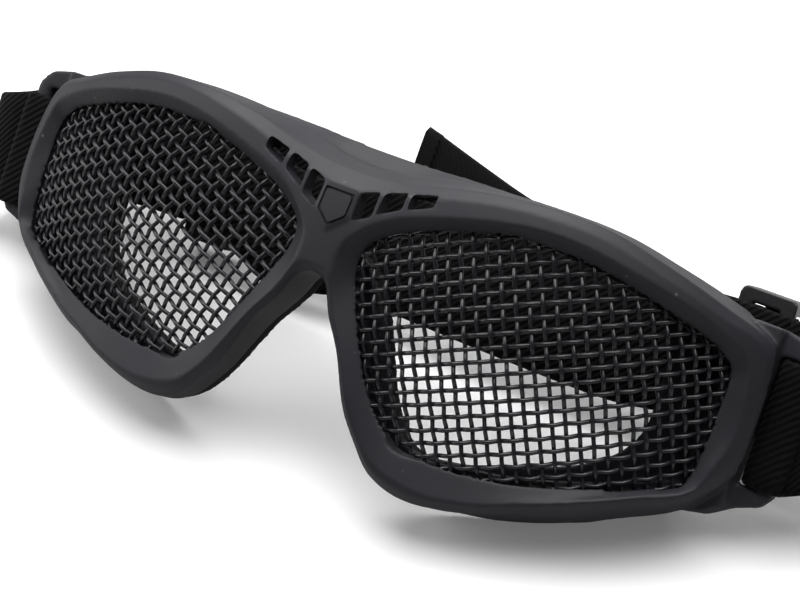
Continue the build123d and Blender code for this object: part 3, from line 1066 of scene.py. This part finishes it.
class GogglesFrameSettings(bpy.types.PropertyGroup):
    voxel: length("Mesh size", "Face size of the moulded frame", 0.4)
    easing: bpy.props.IntProperty(
        name="Edge easing", description="How far the mould rounds its edges", default=7, min=0
    )
    skirt_from: length("Brow lip from", "Height where the rear lip starts", 15.0)
    skirt_half: length("Brow lip half width", "Half length of the rear lip", 62.0)
    skirt_thick: length("Brow lip", "Thickness of the rear lip", 1.8)
    vent_ease: length("Vent ease", "How much wider the vents are cut", 0.35)
    groove_wide: length("Groove width", "Groove round the bare panel", 0.5)
    groove_deep: length("Groove depth", "Groove round the bare panel", 0.5)
    rubber_dark: colour("Rubber dark", "Darker tone of the moulding", "#18181d")
    rubber_light: colour("Rubber light", "Lighter tone of the moulding", "#202027")
    dust: colour("Dust", "Specks of dust on the moulding", "#8a8a88")
    foam_relief: length("Foam relief", "How far the foam's skin stands back", 0.6)
    # Painted shade in the foam's pores.
    foam_pore_shade: colour("Foam dark", "The foam's pores", "#070707")
    foam_light: colour("Foam light", "The foam's skin", "#111112")


class GogglesStrapSettings(bpy.types.PropertyGroup):
    strap_width: length("Strap width", "Width of the webbing", 25.0)
    strap_thick: length("Strap thickness", "Thickness of the webbing", 1.3)
    rib_pitch: length("Rib pitch", "Distance between the ribs", 1.2)
    slider_z: length("Slider height", "Middle height of the sliders", 10.4)
    # Painted shade in the grooves between the ribs.
    webbing_groove_shade: colour("Webbing dark", "Between the ribs", "#020202")
    webbing_light: colour("Webbing light", "On the ribs", "#070708")
    buckle_dark: colour("Slider dark", "Darker tone of the sliders", "#1a1a1c")
    buckle_light: colour("Slider light", "Lighter tone of the sliders", "#262628")


class GogglesStageSettings(bpy.types.PropertyGroup):
    lens: bpy.props.FloatProperty(
        name="Focal length", description="Camera focal length", default=100.0, unit="CAMERA"
    )
    soft_light: bpy.props.FloatProperty(
        name="Overhead light",
        description="Power of the overhead softbox",
        default=16.0,
        unit="POWER",
    )
    fill: bpy.props.FloatProperty(
        name="Fill", description="Strength of the white surroundings", default=0.13
    )
    glow: bpy.props.FloatProperty(
        name="Paper glow", description="Light that the camera sees the paper add", default=0.12
    )
    floor: colour("Floor colour", "Paper sweep", "#f6f6f6")
    bounce: colour("Floor bounce", "What the paper throws back", "#b4b4b4")


# Steps


class GOGGLES_OT_frame(bpy.types.Operator):
    """Build the moulded frame from its CAD shape with eased edges"""

    bl_idname = "goggles.frame"
    bl_label = "Moulded frame"

    def execute(self, context):
        props = context.scene.goggles_frame
        skirt = [brow_skirt(props)]
        ob = moulded_copy(
            "frame", "moulded_frame", props.voxel, props.easing, FRAME_KEEP, skirt
        )
        reshape(ob, frame_shift)
        ob = cut(ob, brow_cutter(props))
        give(ob, moulded_rubber(props))
        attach(ob, "goggles")
        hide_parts("frame")
        return {"FINISHED"}


class GOGGLES_OT_lenses(bpy.types.Operator):
    """Weave the two wire lenses"""

    bl_idname = "goggles.lenses"
    bl_label = "Woven lenses"

    def execute(self, context):
        props = context.scene.goggles_lens
        tree = wire_tree()
        mat = coated_wire(props)
        for side, word in ((1, "right"), (-1, "left")):
            points = []
            edges = []
            for line in wire_lines(props.pitch / MM, props.crimp / MM, side):
                start = len(points)
                points += line
                edges += [(k, k + 1) for k in range(start, len(points) - 1)]
            name = "woven_lens_" + word
            ob = new_object(name, mesh_of(name, points, edges=edges))
            modifier = add_modifier(ob, "Wires", "NODES", node_group=tree)
            values = {"Wire diameter": props.wire, "Sides": props.sides, "Finish": mat}
            set_inputs(modifier, values)
            ob = baked(ob)
            if len(ob.data.polygons) == 0:
                raise RuntimeError("the lens has no wires")
            give(ob, mat)
            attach(ob, "goggles")
            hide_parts("mesh_lens_" + word)
        return {"FINISHED"}


class GOGGLES_OT_foam(bpy.types.Operator):
    """Build the face foam"""

    bl_idname = "goggles.foam"
    bl_label = "Face foam"

    def execute(self, context):
        props = context.scene.goggles_frame
        ob = moulded_copy("face_foam", "foam_ring", props.voxel * 2, FOAM_EASING, FOAM_KEEP)
        normals = [v.normal.copy() for v in ob.data.vertices]
        for vertex, normal in zip(ob.data.vertices, normals):
            vertex.co -= normal * props.foam_relief
        reshape(ob, foam_shift)
        give(ob, soft_foam(props))
        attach(ob, "goggles")
        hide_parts("face_foam")
        return {"FINISHED"}


class GOGGLES_OT_strap(bpy.types.Operator):
    """Lay the elastic strap: back run, loops and free ends"""

    bl_idname = "goggles.strap"
    bl_label = "Elastic strap"

    def execute(self, context):
        props = context.scene.goggles_strap
        mat = elastic_webbing(props)
        wide = props.strap_width / MM
        thick = props.strap_thick / MM
        z = props.slider_z / MM
        right_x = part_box("slider_right")[1][0] / MM
        left_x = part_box("slider_left")[0][0] / MM
        route = [(left_x, RUN_Y, z, 0), (-48, RUN_Y, z - 0.4, 0), *RUN_STOPS]
        run = band("strap_run", [*route, (right_x, RUN_Y, z, 0)], wide, thick)
        long_end = band("long_free_end", [(right_x, TAIL_Y, z, 0), *LONG_END], wide, thick)
        join(long_end, [band("hem", HEM, wide + HEM_WIDER, thick * HEM_THICK)])
        short_end = band("short_free_end", [(left_x, TAIL_Y, z, 0), *SHORT_END], wide, thick)
        for ob, node in (
            (run, "strap_back"),
            (long_end, "strap_tail_right"),
            (short_end, "strap_tail_left"),
        ):
            give(ob, mat)
            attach(ob, "strap")
            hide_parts(node)
        for side, word, end_x in ((1, "right", right_x), (-1, "left", -left_x)):
            route = loop_route(end_x + PAST_SLIDER, side, word, thick, z)
            ob = band("lug_loop_" + word, route, wide, thick, along_sign=-side)
            give(ob, mat)
            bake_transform(ob)
            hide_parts("strap_loop_" + word)
        return {"FINISHED"}


class GOGGLES_OT_sliders(bpy.types.Operator):
    """Build the two slide buckles"""

    bl_idname = "goggles.sliders"
    bl_label = "Slide buckles"

    def execute(self, context):
        props = context.scene.goggles_strap
        mat = moulded_acetal(props)
        rise = row_way(0, 0, props.slider_z - CAD_BACK_Z * MM)
        for word in ("right", "left"):
            node = "slider_" + word
            name = "slide_buckle_" + word
            ob = moulded_copy(node, name, SLIDER_VOXEL, SLIDER_EASING, SLIDER_KEEP)
            ob.data.transform(Matrix.Translation(rise))
            give(ob, mat)
            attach(ob, node)
            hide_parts(node)
        return {"FINISHED"}


class GOGGLES_OT_stage(bpy.types.Operator):
    """Add the floor, the light and the camera at the photograph's angle"""

    bl_idname = "goggles.stage"
    bl_label = "Stage"

    def execute(self, context):
        props = context.scene.goggles_stage
        context.scene.view_settings.view_transform = "Standard"
        place_camera(context, props)
        place_floor(props)
        place_light(context, props)
        return {"FINISHED"}


def place_camera(context, props):
    """The camera as solved from the photograph, with a 36 mm wide sensor."""
    data = bpy.data.cameras.new("Photo camera")
    data.lens = props.lens
    data.sensor_width = 36
    data.sensor_fit = "HORIZONTAL"
    data.clip_start = 0.01
    data.clip_end = 20
    ob = new_object("Photo camera", data)
    axes = [row_way(*way) for way in (CAMERA_RIGHT, CAMERA_UP, CAMERA_BACK)]
    turn = Matrix(axes).transposed().to_4x4()
    ob.matrix_world = Matrix.Translation(row(*CAMERA_PLACE)) @ turn
    context.scene.camera = ob


def place_floor(props):
    """A white paper sweep that keeps the shadow and looks a little brighter than what it
    throws back on the goggles."""
    mat, tree = new_material("white_paper")
    seen = add_node(tree, "ShaderNodeLightPath").outputs["Is Camera Ray"]
    tone = add_node(
        tree,
        "ShaderNodeMix",
        [(0, seen), (6, props.bounce), (7, props.floor)],
        data_type="RGBA",
    )
    paper = add_node(tree, "ShaderNodeBsdfDiffuse", [("Color", tone.outputs[2])])
    level = add_node(tree, "ShaderNodeMath", [(0, seen), (1, props.glow)], operation="MULTIPLY")
    glow = add_node(tree, "ShaderNodeEmission", [("Strength", level.outputs[0])])
    both = add_node(tree, "ShaderNodeAddShader", [(0, paper.outputs[0]), (1, glow.outputs[0])])
    add_node(tree, "ShaderNodeOutputMaterial", [(0, both.outputs[0])])
    h = FLOOR_HALF
    corners = [(-h, -h, 0), (h, -h, 0), (h, h, 0), (-h, h, 0)]
    ob = new_object("paper_floor", mesh_of("paper_floor", corners, [(0, 1, 2, 3)]))
    give(ob, mat)


def place_light(context, props):
    """Softboxes that look at the goggles, in surroundings the camera sees as white."""
    for name, place, size, share in SOFTBOXES:
        data = bpy.data.lights.new(name, "AREA")
        data.shape = "RECTANGLE"
        data.size, data.size_y = size
        data.energy = props.soft_light * share
        turn = (-Vector(place)).normalized().to_track_quat("-Z", "Y").to_matrix().to_4x4()
        new_object(name, data).matrix_world = Matrix.Translation(place) @ turn
    world = bpy.data.worlds.new("White studio")
    context.scene.world = world
    world.use_nodes = True
    tree = world.node_tree
    tree.nodes.clear()
    seen = add_node(tree, "ShaderNodeLightPath").outputs["Is Camera Ray"]
    level = add_node(tree, "ShaderNodeMapRange", [("Value", seen)], To_Min=props.fill, To_Max=1.0)
    sky = add_node(tree, "ShaderNodeBackground", [("Strength", level.outputs[0])])
    add_node(tree, "ShaderNodeOutputWorld", [(0, sky.outputs[0])])


OPERATORS = (
    GOGGLES_OT_frame,
    GOGGLES_OT_lenses,
    GOGGLES_OT_foam,
    GOGGLES_OT_strap,
    GOGGLES_OT_sliders,
    GOGGLES_OT_stage,
)
SETTINGS = (
    ("goggles_frame", GogglesFrameSettings),
    ("goggles_lens", GogglesLensSettings),
    ("goggles_strap", GogglesStrapSettings),
    ("goggles_stage", GogglesStageSettings),
)


class GOGGLES_PT_panel(bpy.types.Panel):
    """Sizes and steps of the goggles"""

    bl_idname = "GOGGLES_PT_panel"
    bl_label = "Mesh goggles"
    bl_space_type = "VIEW_3D"
    bl_region_type = "UI"
    bl_category = "Goggles"

    def draw(self, context):
        layout = self.layout
        for name, group in SETTINGS:
            box = layout.box()
            settings = getattr(context.scene, name)
            for key in group.__annotations__:
                box.prop(settings, key)
        for operator in OPERATORS:
            layout.operator(operator.bl_idname)


def register():
    for name, group in SETTINGS:
        bpy.utils.register_class(group)
        setattr(bpy.types.Scene, name, bpy.props.PointerProperty(type=group))
    for operator in OPERATORS:
        bpy.utils.register_class(operator)
    bpy.utils.register_class(GOGGLES_PT_panel)


def unregister():
    bpy.utils.unregister_class(GOGGLES_PT_panel)
    for operator in reversed(OPERATORS):
        bpy.utils.unregister_class(operator)
    for name, group in reversed(SETTINGS):
        delattr(bpy.types.Scene, name)
        bpy.utils.unregister_class(group)


def main():
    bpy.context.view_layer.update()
    register()
    bpy.ops.goggles.frame()
    bpy.ops.goggles.lenses()
    bpy.ops.goggles.foam()
    bpy.ops.goggles.strap()
    bpy.ops.goggles.sliders()
    bpy.ops.goggles.stage()


if __name__ == "__main__":
    main()
